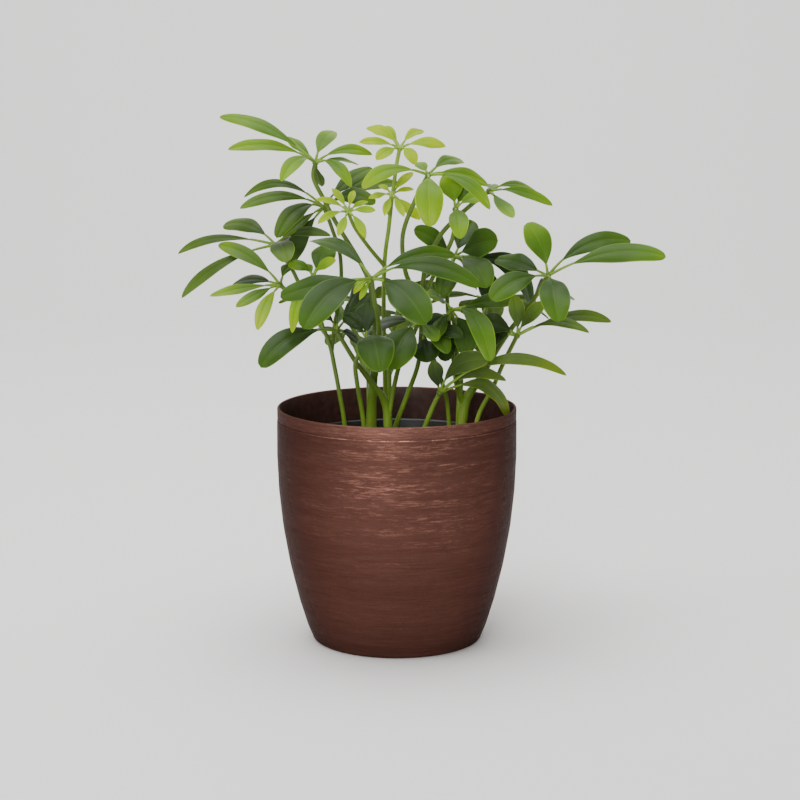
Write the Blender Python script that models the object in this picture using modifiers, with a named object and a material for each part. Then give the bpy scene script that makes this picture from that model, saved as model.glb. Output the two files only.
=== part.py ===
"""Dwarf umbrella tree in a black grow pot, standing in a copper-brown cover pot.

Metres, +Z up, the pot's axis on the origin and its base on z = 0. The front is towards -Y.
Leaves are placed in millimetres as (right, up, toward): right and up as the front view shows them
in the plane of the pot's axis, and toward as the depth in front of that plane.
"""
import math
from collections import namedtuple

import bmesh
import bpy
from mathutils import Matrix, Vector

MM = 0.001

# The pots and the soil, in millimetres
POT_HEIGHT = 119.0
POT_WALL = 1.5
LIP_BOTTOM = 112.6
GROOVE_DEPTH = 0.5
GROOVE_HEIGHT = 1.0
BASE_ROUND = 1.8
# Outer radius of the cover pot at heights above its base, bottom to top
POT_PROFILE = [(8.1, 45.6), (20.7, 49.5), (39.5, 54.1), (58.3, 57.4), (77.0, 59.4), (95.0, 60.2)]
BASE_RADIUS = 43.0
CONTACT_RADIUS = 40.7
LIP_RADIUS = 60.0
POT_SIDES = 32

GROW_RIM_Z = 103.0
GROW_RIM_RADIUS = 54.0
GROW_BASE_RADIUS = 39.0
GROW_WALL = 1.0
GROW_RIM_BEAD = 1.2
GROW_GAP = 0.3
GROW_SIDES = 28

SOIL_TOP = 93.0
SOIL_GAP = 0.3
STEM_DEPTH = 12.0
HOLE_CLEARANCE = 0.35

# The eye that the front view's right and up are measured from
EYE = Vector((1.6, -1097.65, 312.3))

# A leaflet: a stalk, then a blade folded a little along its midrib
BLADE_THICKNESS = 0.7
STALK_WIDTH = 1.1
STALK_SHARE = 0.16
BLADE_STEPS = 4
BLADE_FOLD = 0.16
HUB_RADIUS = 1.8
TRUNK_RADIUS = 2.5

# The leaflets' faces turn up and outwards: towards the front view on that side, and back behind
LIGHT = Vector((0.0, -0.8, 0.75))
REAR_LIGHT = Vector((0.0, 0.35, 1.0))
REAR_Y = 40.0

GREEN = (0.09, 0.23, 0.04)
DARK = (0.035, 0.11, 0.025)
LIME = (0.38, 0.50, 0.04)


def seen(right, up, toward):
    """The point that the front view shows at (right, up), at a depth in front of the pot's axis."""
    on_plane = Vector((right, 0.0, up))
    share = (-EYE.y - toward) / -EYE.y
    return EYE + (on_plane - EYE) * share


def clear_scene():
    """Remove every object that the file starts with."""
    for item in list(bpy.data.objects):
        bpy.data.objects.remove(item, do_unlink=True)


def material(name, colour, roughness, metallic=0.0):
    """A Principled material in one colour."""
    made = bpy.data.materials.get(name)
    if made:
        return made
    made = bpy.data.materials.new(name)
    made.use_nodes = True
    shader = made.node_tree.nodes["Principled BSDF"]
    shader.inputs["Base Color"].default_value = (*colour, 1.0)
    shader.inputs["Roughness"].default_value = roughness
    shader.inputs["Metallic"].default_value = metallic
    return made


def place(name, mesh, group, finish=None):
    """An object of a mesh, in its collection, with its material."""
    item = bpy.data.objects.new(name, mesh)
    group.objects.link(item)
    if finish:
        mesh.materials.clear()
        mesh.materials.append(finish)
    return item


def turned(name, outline, sides, group, finish):
    """A solid of revolution: a closed outline of (radius, height) in mm, spun about Z."""
    mesh = bpy.data.meshes.new(name)
    bm = bmesh.new()
    ring = [bm.verts.new((radius * MM, 0.0, height * MM)) for radius, height in outline]
    for start, end in zip(ring, ring[1:]):
        bm.edges.new((start, end))
    if outline[0][0] > 0.0:
        bm.edges.new((ring[-1], ring[0]))
    bm.to_mesh(mesh)
    bm.free()
    item = place(name, mesh, group, finish)
    screw = item.modifiers.new("spin", "SCREW")
    screw.angle = 2 * math.pi
    screw.steps = sides
    screw.render_steps = sides
    screw.use_merge_vertices = True
    screw.merge_threshold = 0.00001
    screw.use_smooth_shade = True
    return item


def cover_pot(group):
    """The cover pot: a tapered shell with a floor, a lip band and a fine groove under the lip."""
    inner = [(0.0, POT_WALL + 1.0)]
    inner += [(radius - POT_WALL, height) for height, radius in POT_PROFILE]
    inner += [(LIP_RADIUS - POT_WALL, LIP_BOTTOM), (LIP_RADIUS - POT_WALL, POT_HEIGHT - 0.4)]
    rim = [(LIP_RADIUS - POT_WALL + 0.4, POT_HEIGHT), (LIP_RADIUS - 0.4, POT_HEIGHT)]
    lip = [(LIP_RADIUS, POT_HEIGHT - 0.4), (LIP_RADIUS, LIP_BOTTOM + GROOVE_HEIGHT)]
    groove = [(LIP_RADIUS - GROOVE_DEPTH, LIP_BOTTOM + 0.5 * GROOVE_HEIGHT), (LIP_RADIUS + 0.1, LIP_BOTTOM)]
    side = [(radius, height) for height, radius in reversed(POT_PROFILE)]
    foot = [(BASE_RADIUS, BASE_ROUND), (CONTACT_RADIUS, 0.0), (0.0, 0.0)]
    inner.insert(1, (BASE_RADIUS - POT_WALL, POT_WALL + 1.0))
    finish = material("copper_metal", (0.29, 0.15, 0.11), 0.38, 1.0)
    return turned("cover_pot", inner + rim + lip + groove + side + foot, POT_SIDES, group, finish)


def grow_pot(group):
    """The plastic nursery pot that stands on the cover pot's floor."""
    floor = POT_WALL + 1.0 + GROW_GAP
    outer = GROW_RIM_RADIUS - GROW_RIM_BEAD
    inner = [(0.0, floor + GROW_WALL), (GROW_BASE_RADIUS - GROW_WALL, floor + GROW_WALL)]
    rim = [(outer - GROW_WALL, GROW_RIM_Z - 0.5), (outer - GROW_WALL + 0.5, GROW_RIM_Z)]
    bead = [(GROW_RIM_RADIUS - 0.5, GROW_RIM_Z), (GROW_RIM_RADIUS, GROW_RIM_Z - 0.5)]
    bead += [(GROW_RIM_RADIUS, GROW_RIM_Z - 6.0), (outer, GROW_RIM_Z - 6.6)]
    foot = [(GROW_BASE_RADIUS, floor), (0.0, floor)]
    finish = material("grow_pot_plastic", (0.02, 0.021, 0.02), 0.35)
    return turned("grow_pot", inner + rim + bead + foot, GROW_SIDES, group, finish)


def soil_radius(height):
    """The radius of the soil, clear of the grow pot's inner wall, at a height in mm."""
    floor = POT_WALL + 1.0 + GROW_GAP + GROW_WALL
    low = GROW_BASE_RADIUS - GROW_WALL
    high = GROW_RIM_RADIUS - GROW_RIM_BEAD - GROW_WALL
    share = (height - floor) / (GROW_RIM_Z - 0.5 - floor)
    return low + (high - low) * share - SOIL_GAP - 0.25


def soil(group, roots):
    """The potting soil, with a plain hole for each stem."""
    bottom = POT_WALL + 1.0 + GROW_GAP + GROW_WALL + SOIL_GAP
    outline = [(0.0, SOIL_TOP + 1.5), (soil_radius(SOIL_TOP) - 6.0, SOIL_TOP + 0.8)]
    outline += [(soil_radius(SOIL_TOP), SOIL_TOP), (soil_radius(bottom), bottom), (0.0, bottom)]
    finish = material("potting_soil", (0.03, 0.02, 0.013), 0.95)
    item = turned("soil", outline, GROW_SIDES, group, finish)
    holes = bpy.data.collections.new("stem holes")
    bpy.context.scene.collection.children.link(holes)
    for x, y, radius in roots:
        mesh = bpy.data.meshes.new("stem hole")
        bm = bmesh.new()
        lowest = SOIL_TOP - STEM_DEPTH - 0.5
        height = STEM_DEPTH + 6.0
        centre = Vector((x, y, lowest + 0.5 * height)) * MM
        size = (radius + HOLE_CLEARANCE) * MM
        bmesh.ops.create_cone(bm, cap_ends=True, segments=8, radius1=size, radius2=size,
                              depth=height * MM, matrix=Matrix.Translation(centre))
        bm.to_mesh(mesh)
        bm.free()
        cutter = place("stem hole", mesh, holes)
        cutter.hide_render = True
        cutter.display_type = "WIRE"
    cut = item.modifiers.new("holes", "BOOLEAN")
    cut.operation = "DIFFERENCE"
    cut.operand_type = "COLLECTION"
    cut.collection = holes
    return item


def smooth_route(points, steps=2):
    """A smooth curve through the points of a stem, as more points."""
    route = []
    for index in range(len(points) - 1):
        before = points[max(index - 1, 0)]
        start = points[index]
        end = points[index + 1]
        after = points[min(index + 2, len(points) - 1)]
        for step in range(steps):
            t = step / steps
            bend = (end - before) * 0.5
            leave = (after - start) * 0.5
            route.append((2 * t**3 - 3 * t**2 + 1) * start + (t**3 - 2 * t**2 + t) * bend
                         + (3 * t**2 - 2 * t**3) * end + (t**3 - t**2) * leave)
    return route + [points[-1]]


def hub_mesh(name, hub):
    """The small knob at the top of a stalk that the leaflets grow from."""
    mesh = bpy.data.meshes.new(name)
    bm = bmesh.new()
    bmesh.ops.create_icosphere(bm, subdivisions=1, radius=HUB_RADIUS * MM, matrix=Matrix.Translation(hub * MM))
    bm.to_mesh(mesh)
    bm.free()
    return mesh


def stem_mesh(name, points, thin, stout, rooted):
    """A round stem along its points in mm, from radius thin at the first to stout at the last."""
    route = smooth_route(points[:-1]) + points[-1:] if rooted else smooth_route(points)
    curve = bpy.data.curves.new(name, "CURVE")
    curve.dimensions = "3D"
    curve.bevel_depth = MM
    curve.bevel_resolution = 1 if stout > TRUNK_RADIUS else 0
    curve.use_fill_caps = True
    spline = curve.splines.new("POLY")
    spline.points.add(len(route) - 1)
    for index, point in enumerate(route):
        share = index / (len(route) - 1)
        spline.points[index].co = (*(point * MM), 1.0)
        spline.points[index].radius = thin + (stout - thin) * share**2
    item = bpy.data.objects.new(name, curve)
    bpy.context.scene.collection.objects.link(item)
    mesh = bpy.data.meshes.new_from_object(item.evaluated_get(bpy.context.evaluated_depsgraph_get()))
    bpy.data.objects.remove(item)
    bm = bmesh.new()
    bm.from_mesh(mesh)
    bmesh.ops.remove_doubles(bm, verts=bm.verts, dist=0.00001)
    bmesh.ops.recalc_face_normals(bm, faces=bm.faces)
    bm.to_mesh(mesh)
    bm.free()
    return mesh


def blade_width(share, width):
    """The half width of a leaflet along its length, as a share of its greatest: narrow ones end in a point."""
    if share <= STALK_SHARE:
        return 0.0
    along = (share - STALK_SHARE) / (1.0 - STALK_SHARE)
    return max(math.sin(math.pi * min(along, 1.0) ** 1.3), 0.0) ** (0.95 - 0.5 * min(0.1 * width, 1.0) * along)


def square_to(direction, chord):
    """The part of a direction that stands square to a chord, one unit long."""
    return (direction - chord * (direction.dot(chord) / chord.length_squared)).normalized()


def blade_mesh(name, hub, leaf):
    """A leaflet on its stalk, arched from the hub to its tip and folded along its midrib."""
    tip = seen(leaf.right, leaf.up, leaf.toward)
    chord = tip - hub
    arch = square_to(Vector((0.0, 0.0, 1.0)) + 0.2 * LIGHT, chord)
    crown = hub + chord * (0.5 + leaf.skew) + arch * (2.0 * leaf.lift)
    face = square_to(LIGHT if hub.y < REAR_Y else REAR_LIGHT, chord)
    turned_up = Matrix.Rotation(math.radians(leaf.roll), 3, chord) @ face
    mesh = bpy.data.meshes.new(name)
    bm = bmesh.new()
    bmesh.ops.create_grid(bm, x_segments=BLADE_STEPS + 1, y_segments=2, size=0.5)
    for vert in bm.verts:
        t = vert.co.x + 0.5
        if t > 1e-6:
            step = round(t * (BLADE_STEPS + 1))
            t = STALK_SHARE + (1.0 - STALK_SHARE) * (step - 1) / BLADE_STEPS
        side = round(vert.co.y * 2)
        middle = hub * (1 - t) ** 2 + crown * (2 * t * (1 - t)) + tip * t**2
        tangent = (crown - hub) * (1 - t) + (tip - crown) * t
        across = tangent.cross(turned_up).normalized()
        out = across.cross(tangent).normalized()
        half = max(0.5 * STALK_WIDTH, 0.5 * leaf.width * blade_width(t, leaf.width)) if 0.0 < t < 0.999 else 0.0
        vert.co = (middle + across * (side * half) + out * (abs(side) * half * BLADE_FOLD)) * MM
    bmesh.ops.remove_doubles(bm, verts=bm.verts, dist=0.00001)
    bmesh.ops.triangulate(bm, faces=bm.faces)
    bm.to_mesh(mesh)
    bm.free()
    return mesh


def fuse(name, stems, blades, group, finish):
    """One body made of overlapping stems and leaflets: the first stem joined with all the others."""
    item = place(name, stems[0], group, finish)
    others = bpy.data.collections.new(name + " pieces")
    bpy.context.scene.collection.children.link(others)
    for mesh in stems[1:]:
        place(name + " stem", mesh, others, finish)
    for mesh in blades:
        leaflet = place(name + " leaflet", mesh, others, finish)
        thickness = leaflet.modifiers.new("thickness", "SOLIDIFY")
        thickness.thickness = BLADE_THICKNESS * MM
        thickness.offset = 0.0
    union = item.modifiers.new("join", "BOOLEAN")
    union.operation = "UNION"
    union.operand_type = "COLLECTION"
    union.collection = others
    union.solver = "EXACT"
    joined = bpy.data.meshes.new_from_object(item.evaluated_get(bpy.context.evaluated_depsgraph_get()))
    item.modifiers.clear()
    item.data = joined
    for piece in list(others.objects):
        bpy.data.objects.remove(piece)
    bpy.data.collections.remove(others)
    return item


def leafy_stem(name, colour, root, sprays, group):
    """A stem from the soil with its leaves: each spray is a stalk and the whorl at its top."""
    stems = []
    blades = []
    for index, spray in enumerate(sprays):
        points = [seen(*point) for point in spray["stalk"]]
        if index == 0:
            x, y, radius = root
            points += [Vector((x, y, SOIL_TOP + 4.0)), Vector((x, y, SOIL_TOP - STEM_DEPTH))]
        thin, stout = spray.get("radii", (1.1, root[2] if index == 0 else 1.3))
        stems.append(stem_mesh(name, points, thin, stout, index == 0))
        hub = points[0]
        stems.append(hub_mesh(name, hub))
        blades += [blade_mesh(name, hub, leaf) for leaf in spray["leaflets"]]
    finish = material(*colour)
    return fuse(name, stems, blades, group, finish)


LEAF_GREEN = ("leaf_green", GREEN, 0.35)
LEAF_DARK = ("leaf_dark", DARK, 0.35)
LEAF_LIME = ("leaf_lime", LIME, 0.4)

# A leaflet: its tip as (right, up, toward), its width, how far it arches up, its roll in degrees, and how far
# its arch leans to the tip as a share of its length
Leaf = namedtuple("Leaf", "right up toward width lift roll skew", defaults=(0.0, 0.0))

# Each leafy stem: its colour, its root in the soil as (x, y, radius) and its sprays. A spray's stalk runs
# from its hub down, as points (right, up, toward).
PLANT = {
    "stem_left": (LEAF_GREEN, (-13.0, 2.0, 3.2), [
        {"stalk": [(-12.5, 183, 55), (-11, 172, 48), (-9, 160, 34), (-9, 148, 15), (-11, 138, 4),
                   (-12.5, 122, 0)],
         "leaflets": [Leaf(14.5, 160.5, 82, 18, 6), Leaf(-46.5, 158, 88, 17, 7),
                      Leaf(-58, 174, 52, 13, 2.5), Leaf(-43, 202, 30, 12, 6, roll=20),
                      Leaf(41, 179, 66, 11, 9.5), Leaf(29, 195, 40, 9, 6), Leaf(-24, 169, 40, 12, 2)]},
        {"stalk": [(-40, 240.5, 8), (-41, 233, 8), (-36, 222.5, 9), (-29.5, 210, 11), (-18, 191, 14),
                   (-13, 178, 16), (-11, 158, 12), (-10.2, 142, 8)],
         "leaflets": [Leaf(-87, 263, -8, 8, 5.5, skew=0.05), Leaf(-83, 247, 22, 7.5, 5.5),
                      Leaf(-54, 253.5, -22, 6, 1), Leaf(-30.5, 256, -16, 9, 4.5, skew=-0.14),
                      Leaf(-12, 244.5, 2, 6.5, 4.5), Leaf(-18.5, 239.5, -18, 4, 2),
                      Leaf(-22.5, 228.5, 26, 6.5, 6), Leaf(-57, 231.5, 34, 8, 6.5),
                      Leaf(-37, 229, -14, 6, 0)]},
    ]),
    "stem_middle": (LEAF_GREEN, (-4.0, -9.0, 3.0), [
        {"stalk": [(-30, 157, 22), (-21, 142, 20), (-12, 130, 14), (-5.5, 119, 9)],
         "leaflets": [Leaf(-68, 138.5, 52, 13, 7.5, skew=0.08), Leaf(-28, 172, 38, 8.5, 1),
                      Leaf(-13, 176, -2, 12, 1), Leaf(-44, 166, 36, 9, 4), Leaf(-18, 150, 8, 9, 2)]},
        {"stalk": [(11, 161.5, 26), (6, 150, 20), (1.4, 140, 13), (-1.5, 128, 9.5), (-4, 114, 9)],
         "leaflets": [Leaf(-3, 137.3, 48, 18, 4), Leaf(20.5, 152, 36, 7.5, 1), Leaf(-3, 176, 14, 12, 3),
                      Leaf(-16, 156, -10, 13, 3)]},
    ]),
    "stem_right": (LEAF_GREEN, (31.0, 4.0, 3.2), [
        {"stalk": [(75, 184.5, 30), (67, 171, 18), (57, 158, 8), (49, 146, 2), (40.5, 131, -3),
                   (34.5, 121, -4)],
         "leaflets": [Leaf(64.5, 211, 22, 13, 3), Leaf(116, 202, 12, 11, 7.5),
                      Leaf(133.5, 194, 34, 12, 6.5, skew=0.08), Leaf(80.5, 161.5, 62, 15, 6),
                      Leaf(47, 172.5, 46, 13, 4), Leaf(49, 193, 8, 12, 1.5), Leaf(67, 170.5, 10, 11, 2),
                      Leaf(88.5, 173, -4, 6, -1.5)]},
        {"stalk": [(27, 167.5, 16), (29, 158, 10), (30, 148, 4), (30, 137, 0), (31, 128, -2),
                   (33.5, 119.5, -4)],
         "leaflets": [Leaf(46.8, 141.5, 48, 11, 10.5), Leaf(62, 173, 12, 10, 1),
                      Leaf(16, 174.5, 36, 9, 2.5), Leaf(44, 157, 6, 11, 3), Leaf(24, 141.5, 8, 11, 1),
                      Leaf(34, 145, 12, 13, 3), Leaf(18.6, 152, 30, 7, 2)]},
        {"stalk": [(28.5, 194, -4), (25, 181, -10), (26, 161, -17), (28.5, 141, -13), (30, 129, -7),
                   (33, 120.5, -4.5)],
         "leaflets": [Leaf(8.5, 207.5, 2, 12, 2), Leaf(38, 212, -20, 12, 1),
                      Leaf(50, 202, 16, 15, 1.5, roll=25), Leaf(44.5, 178.5, 32, 14, 6, skew=0.15),
                      Leaf(12, 182, -24, 12, 3), Leaf(40, 178, -22, 13, 3), Leaf(49, 169, -12, 13, 5),
                      Leaf(22.5, 174.5, 16, 11, 2), Leaf(66.5, 171, -24, 16, 10, skew=0.12)]},
    ]),
    "lime_shoot": (LEAF_LIME, (-5.4, 20.0, 1.3), [
        {"stalk": [(1.5, 247.5, 4), (0, 240, 5), (-1.5, 229, 6), (-2.5, 222, 6), (-4, 208, 3),
                   (-6, 192, -4), (-6.5, 165, -16), (-5.9, 135, -20)],
         "radii": (1.0, 1.3),
         "leaflets": [Leaf(-15, 257.5, -4, 6.5, 3), Leaf(-6, 258.5, -16, 4.5, 2),
                      Leaf(-18.5, 250.5, 6, 5, 2), Leaf(-10, 242, 18, 6.5, 2), Leaf(9, 239.5, 16, 6.5, 3),
                      Leaf(24, 248.5, 4, 6.5, 3), Leaf(13.5, 256, -14, 5.5, 3)]},
        {"stalk": [(-2.5, 225, 8), (-3.5, 215, 5)],
         "radii": (1.0, 1.3),
         "leaflets": [Leaf(-14, 223, 10, 4, 1), Leaf(-9, 229.5, -2, 3.5, 1), Leaf(-6, 214.5, 20, 4, 1),
                      Leaf(3.5, 214, 22, 4, 1), Leaf(11.5, 212.5, 16, 6, 1), Leaf(8.5, 227.5, -2, 3.5, 1),
                      Leaf(8, 236, -10, 5, 1)]},
        {"stalk": [(-24, 216.5, 22), (-21, 209, 16), (-14, 199, 8), (-6.5, 190, -4)],
         "radii": (0.9, 1.1),
         "leaflets": [Leaf(-40, 222.5, 20, 3.8, 2), Leaf(-32, 228, 10, 3.8, 1), Leaf(-21, 227, 8, 3.6, 1),
                      Leaf(-14, 221.5, 12, 3.4, 1), Leaf(-10.5, 217, 22, 4.6, 1),
                      Leaf(-15.5, 203, 36, 4.4, 2), Leaf(-29, 204.5, 38, 4.6, 1),
                      Leaf(-39, 210.5, 32, 4.2, 2)]},
    ]),
    "stem_far_left": (LEAF_GREEN, (-24.5, -14.0, 1.1), [
        {"stalk": [(-58, 180, 12), (-47, 170, 14), (-38, 160, 15), (-33.5, 150, 15), (-31, 138, 15),
                   (-29, 127, 15), (-26.5, 112, 14)],
         "leaflets": [Leaf(-88.5, 200, -4, 8.5, 4.5), Leaf(-82, 180, -16, 8, 2.5),
                      Leaf(-93, 174.5, 22, 6, 1.5), Leaf(-80, 169, 30, 6.5, 1.5),
                      Leaf(-69.5, 157.5, 42, 7, 3), Leaf(-51, 189.5, -4, 6, 3.5)]},
        {"stalk": [(-60, 200, -2), (-52, 188, 2), (-44, 170, 8), (-36.2, 156, 14.5)],
         "radii": (1.1, 1.3),
         "leaflets": [Leaf(-108.5, 195.5, -10, 6, 6, skew=0.12), Leaf(-86, 209.5, -26, 10, 5),
                      Leaf(-107, 173.5, 6, 7, 5.5, skew=0.07), Leaf(-54.5, 191.5, 26, 12, 5),
                      Leaf(-32.7, 204.5, 6, 6, 5), Leaf(-46, 200, -28, 9, 3)]},
        {"stalk": [(-36, 218.5, -12), (-32, 208, -10), (-28, 194, -6), (-28, 176, 2), (-31, 160, 10),
                   (-32.5, 146, 14.8)],
         "radii": (1.1, 1.3),
         "leaflets": [Leaf(-75.5, 223.5, -24, 6, 9.5, skew=0.05), Leaf(-77.5, 218, 2, 7.5, 6.5),
                      Leaf(-59.5, 203.5, 18, 10, 7.5), Leaf(-56.5, 203.3, 4, 5.5, 1.5),
                      Leaf(-12, 238, -30, 9, 3.5), Leaf(3, 230, -22, 7, 4), Leaf(-10.5, 220.5, -8, 10, 5),
                      Leaf(-54, 189.5, -10, 10, 2)]},
        {"stalk": [(-41.5, 184, 20), (-40, 172, 18), (-35.7, 155, 15)],
         "radii": (0.9, 1.1),
         "leaflets": [Leaf(-30.2, 192.4, 24, 6, 2), Leaf(-54, 189.5, 22, 6.5, 3),
                      Leaf(-52.2, 156, 46, 6.5, 6), Leaf(-35.3, 168.2, 38, 8, 3), Leaf(-33, 200, 2, 12, 2)]},
    ]),
    "leaf_front": (LEAF_GREEN, (-15.0, -22.0, 1.2), [
        {"stalk": [(-15, 152.5, 36), (-19.5, 144, 33), (-20.8, 139, 31), (-19.5, 128, 28), (-17, 113, 24)],
         "leaflets": [Leaf(-8.5, 136, 66, 18, 8, skew=-0.05), Leaf(-13.5, 172.5, 16, 11, 1),
                      Leaf(-27, 165, 24, 8, 2)]},
    ]),
    "leaf_right_low": (LEAF_GREEN, (8.0, -26.0, 1.6), [
        {"stalk": [(21.5, 125.5, 30), (17, 116, 28)],
         "leaflets": [Leaf(18, 142, 34, 8, 0), Leaf(46, 142, 40, 11, 6),
                      Leaf(85, 134.5, 36, 7, 13.5, skew=0.1), Leaf(56, 113.5, 12, 10, 11, skew=0.05),
                      Leaf(54.8, 131.9, 24, 7, 7)]},
    ]),
    "stem_upper_right": (LEAF_GREEN, (-3.5, 9.0, 1.3), [
        {"stalk": [(29, 217.5, 34), (27.5, 203, 26), (20, 188, 14), (13, 172, 6), (12, 155, 0),
                   (10.6, 140, -3), (5, 124, -6), (-0.2, 110, -8)],
         "leaflets": [Leaf(31.5, 203, 56, 9.5, 5), Leaf(25.5, 236, 26, 11.5, 1),
                      Leaf(36.5, 233.5, 18, 10, 1), Leaf(45, 223, 34, 7, 3)]},
        {"stalk": [(15.5, 234.5, 34), (9, 222, 28), (3, 205, 24), (4, 188, 14), (8, 178, 8),
                   (12.5, 169, 5)],
         "radii": (1.1, 1.3),
         "leaflets": [Leaf(16.5, 209, 58, 13.5, 8), Leaf(33, 241, 10, 8, 3.5), Leaf(45, 229.5, 22, 9, 3.5),
                      Leaf(46, 217.5, 48, 7, 6), Leaf(-17, 228, 42, 8.5, 6, skew=0.05)]},
        {"stalk": [(45.5, 226.5, 14), (37, 220, 18), (26, 210, 20), (20, 202, 18), (14, 188, 11),
                   (12.5, 171, 6)],
         "radii": (1.1, 1.3),
         "leaflets": [Leaf(77, 219.5, 12, 6.5, 3.5, skew=-0.08), Leaf(70, 225.5, -8, 6, 4, skew=-0.08),
                      Leaf(57.5, 213.5, 34, 8, 1, roll=-15), Leaf(47, 230, -12, 7, 1),
                      Leaf(54.5, 218, -22, 8, 1)]},
    ]),
    "leaf_lower_right": (LEAF_GREEN, (37.0, -8.0, 1.2), [
        {"stalk": [(60, 154.5, 26), (53, 140, 12), (48, 128, 9), (41, 114, 8)],
         "leaflets": [Leaf(96, 156, 40, 5.5, 6.5, skew=0.1), Leaf(107, 161.5, 22, 7, 5.5, skew=0.1),
                      Leaf(58, 175, 28, 8, 1), Leaf(74, 171, 34, 8, 2), Leaf(40.5, 162, 24, 12, 2),
                      Leaf(41, 149, 24, 12, 3)]},
    ]),
    "leaf_dark_middle": (LEAF_DARK, (26.5, -8.0, 1.1), [
        {"stalk": [(13, 155, 14), (17.5, 145, 14), (22, 133, 12), (25, 122, 10), (26.2, 110, 9)],
         "leaflets": [Leaf(25.5, 145.5, 30, 9, 5), Leaf(15, 141, 26, 14, 1), Leaf(25, 164, 0, 10, 2),
                      Leaf(33, 154, 28, 8, 3)]},
    ]),
}


def rear_whorl(hub, count, length, width, aim):
    """Leaflets that fan out behind a hub, about an aim in degrees: their tips, widths and arches."""
    right, up, toward = hub
    leaflets = []
    for index in range(count):
        turn = math.radians(aim - 85.0 + 170.0 * index / (count - 1))
        reach = length * (0.88 + 0.12 * math.cos(2.4 * index))
        rise = 5.0 * math.cos(1.7 * index) - 6.0
        tip = (right + reach * math.sin(turn), up + rise, toward - reach * math.cos(turn))
        leaflets.append(Leaf(*tip, width, 0.14 * reach))
    return leaflets


# The stems behind: their root and, for each spray, its stalk, its leaflets' count, length and width,
# and the angle in degrees that they are aimed at, clockwise from straight back as seen from above
REAR = {
    "stem_rear_left": ((-13.5, 24.0, 2.0), [
        ([(-30, 172, -54), (-23, 160, -46), (-16, 147, -38), (-14, 134, -31)], 6, 30, 12, -20),
        ([(-24, 156, -74), (-20, 147, -56), (-14.3, 134, -32)], 4, 22, 11, -5),
    ]),
    "stem_rear_middle": ((-4.0, 30.0, 2.0), [
        ([(4, 180, -62), (0.5, 167, -54), (-2.5, 153, -46), (-4, 134, -35)], 5, 26, 11, 0),
        ([(9, 163, -88), (3, 150, -64), (-3.8, 135, -36)], 4, 28, 12, 0),
    ]),
    "stem_rear_right": ((31.5, 20.0, 2.0), [
        ([(46, 172, -52), (40, 158, -43), (34, 146, -36), (32, 134, -26)], 6, 32, 12, 22),
        ([(33, 155, -70), (32.5, 144, -50), (31.9, 132, -25)], 4, 22, 11, 12),
    ]),
}


def build():
    """Model the whole plant in its pots."""
    clear_scene()
    group = bpy.data.collections.new("potted dwarf umbrella tree")
    bpy.context.scene.collection.children.link(group)
    cover_pot(group)
    grow_pot(group)
    roots = []
    for name, (colour, root, sprays) in PLANT.items():
        leafy_stem(name, colour, root, sprays, group)
        roots.append(root)
    for name, (root, sprays) in REAR.items():
        fans = [{"stalk": stalk, "leaflets": rear_whorl(stalk[0], *fan)} for stalk, *fan in sprays]
        leafy_stem(name, LEAF_GREEN, root, fans, group)
        roots.append(root)
    soil(group, roots)


build()
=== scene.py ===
"""The looks of the potted dwarf umbrella tree: its glossy leaves, stalks, copper pot, grow pot and soil.

Shapes are worked out in millimetres in the frame's axes and scaled to metres as each mesh is made.
Leaves are placed as (right, up, toward): right and up as the front view shows them in the plane of
the pot's axis, and toward as the depth in front of that plane.
"""
import math
import random
from collections import namedtuple

import bmesh
import bpy
import numpy as np
from mathutils import Matrix, Vector, noise


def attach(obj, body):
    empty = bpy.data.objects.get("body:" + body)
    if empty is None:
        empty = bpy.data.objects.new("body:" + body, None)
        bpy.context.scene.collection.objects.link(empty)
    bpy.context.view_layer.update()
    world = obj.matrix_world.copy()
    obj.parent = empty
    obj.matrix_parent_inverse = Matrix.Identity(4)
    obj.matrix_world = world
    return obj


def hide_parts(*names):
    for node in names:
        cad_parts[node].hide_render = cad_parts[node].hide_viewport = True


MM = 0.001

# The camera stands where the photograph was taken from, in metres and degrees
CAMERA_PLACE = (0.0016, -1.09765, 0.31229)
CAMERA_PITCH = 80.164
CAMERA_LENS = 100.0
EYE = Vector(CAMERA_PLACE) / MM

# The pots and the soil, in millimetres
POT_HEIGHT = 119.0
POT_WALL = 1.5
POT_FLOOR = 2.5
LIP_BOTTOM = 112.6
LIP_RADIUS = 60.0
GROOVE_HEIGHT = 1.0
BASE_ROUND = 1.8
POT_PROFILE = [(8.1, 45.6), (20.7, 49.5), (39.5, 54.1), (58.3, 57.4), (77.0, 59.4), (95.0, 60.2)]
BASE_RADIUS = 43.0
FOOT_ROUND = 2.3
GROW_RIM_Z = 103.0
GROW_RIM_RADIUS = 54.0
GROW_BASE_RADIUS = 39.0
GROW_WALL = 1.0
GROW_RIM_BEAD = 1.2
SOIL_TOP = 93.0
SOIL_RADIUS = 50.0
SOIL_FOOT_RADIUS = 37.5
STEM_DEPTH = 12.0

# How many sides the pots and the soil have, and how many rings the soil's top has
POT_SIDES = 160
GROW_SIDES = 144
SOIL_SIDES = 150
SOIL_RINGS = 46

# A leaflet: a stalk, then a blade folded a little along its midrib, and the cells of its grid
STALK_RADIUS = 0.55
STALK_SHARE = 0.16
BLADE_FOLD = 0.16
BLADE_THICKNESS = 0.35
ALONG = 40
ACROSS = 14

# The stalks: a whorl's hub, the least radius of a trunk and the heights of its rings, and the height
# below which a stalk is painted lighter: partly its own fresh green, partly painted light that lifts the
# shade inside the pot. A tone runs from 0 in the darkest leaf, old or in painted shade, to 1 in the youngest.
HUB_RADIUS = 1.6
TRUNK_RADIUS = 2.5
TRUNK_RINGS = (104.0, 113.0, 123.5, 136.0)
BRIGHTENED_BELOW = 140.0
BRIGHTENED_SPAN = 35.0
BRIGHTENED_TONE = 0.95
LIME_TONE = 0.75

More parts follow.
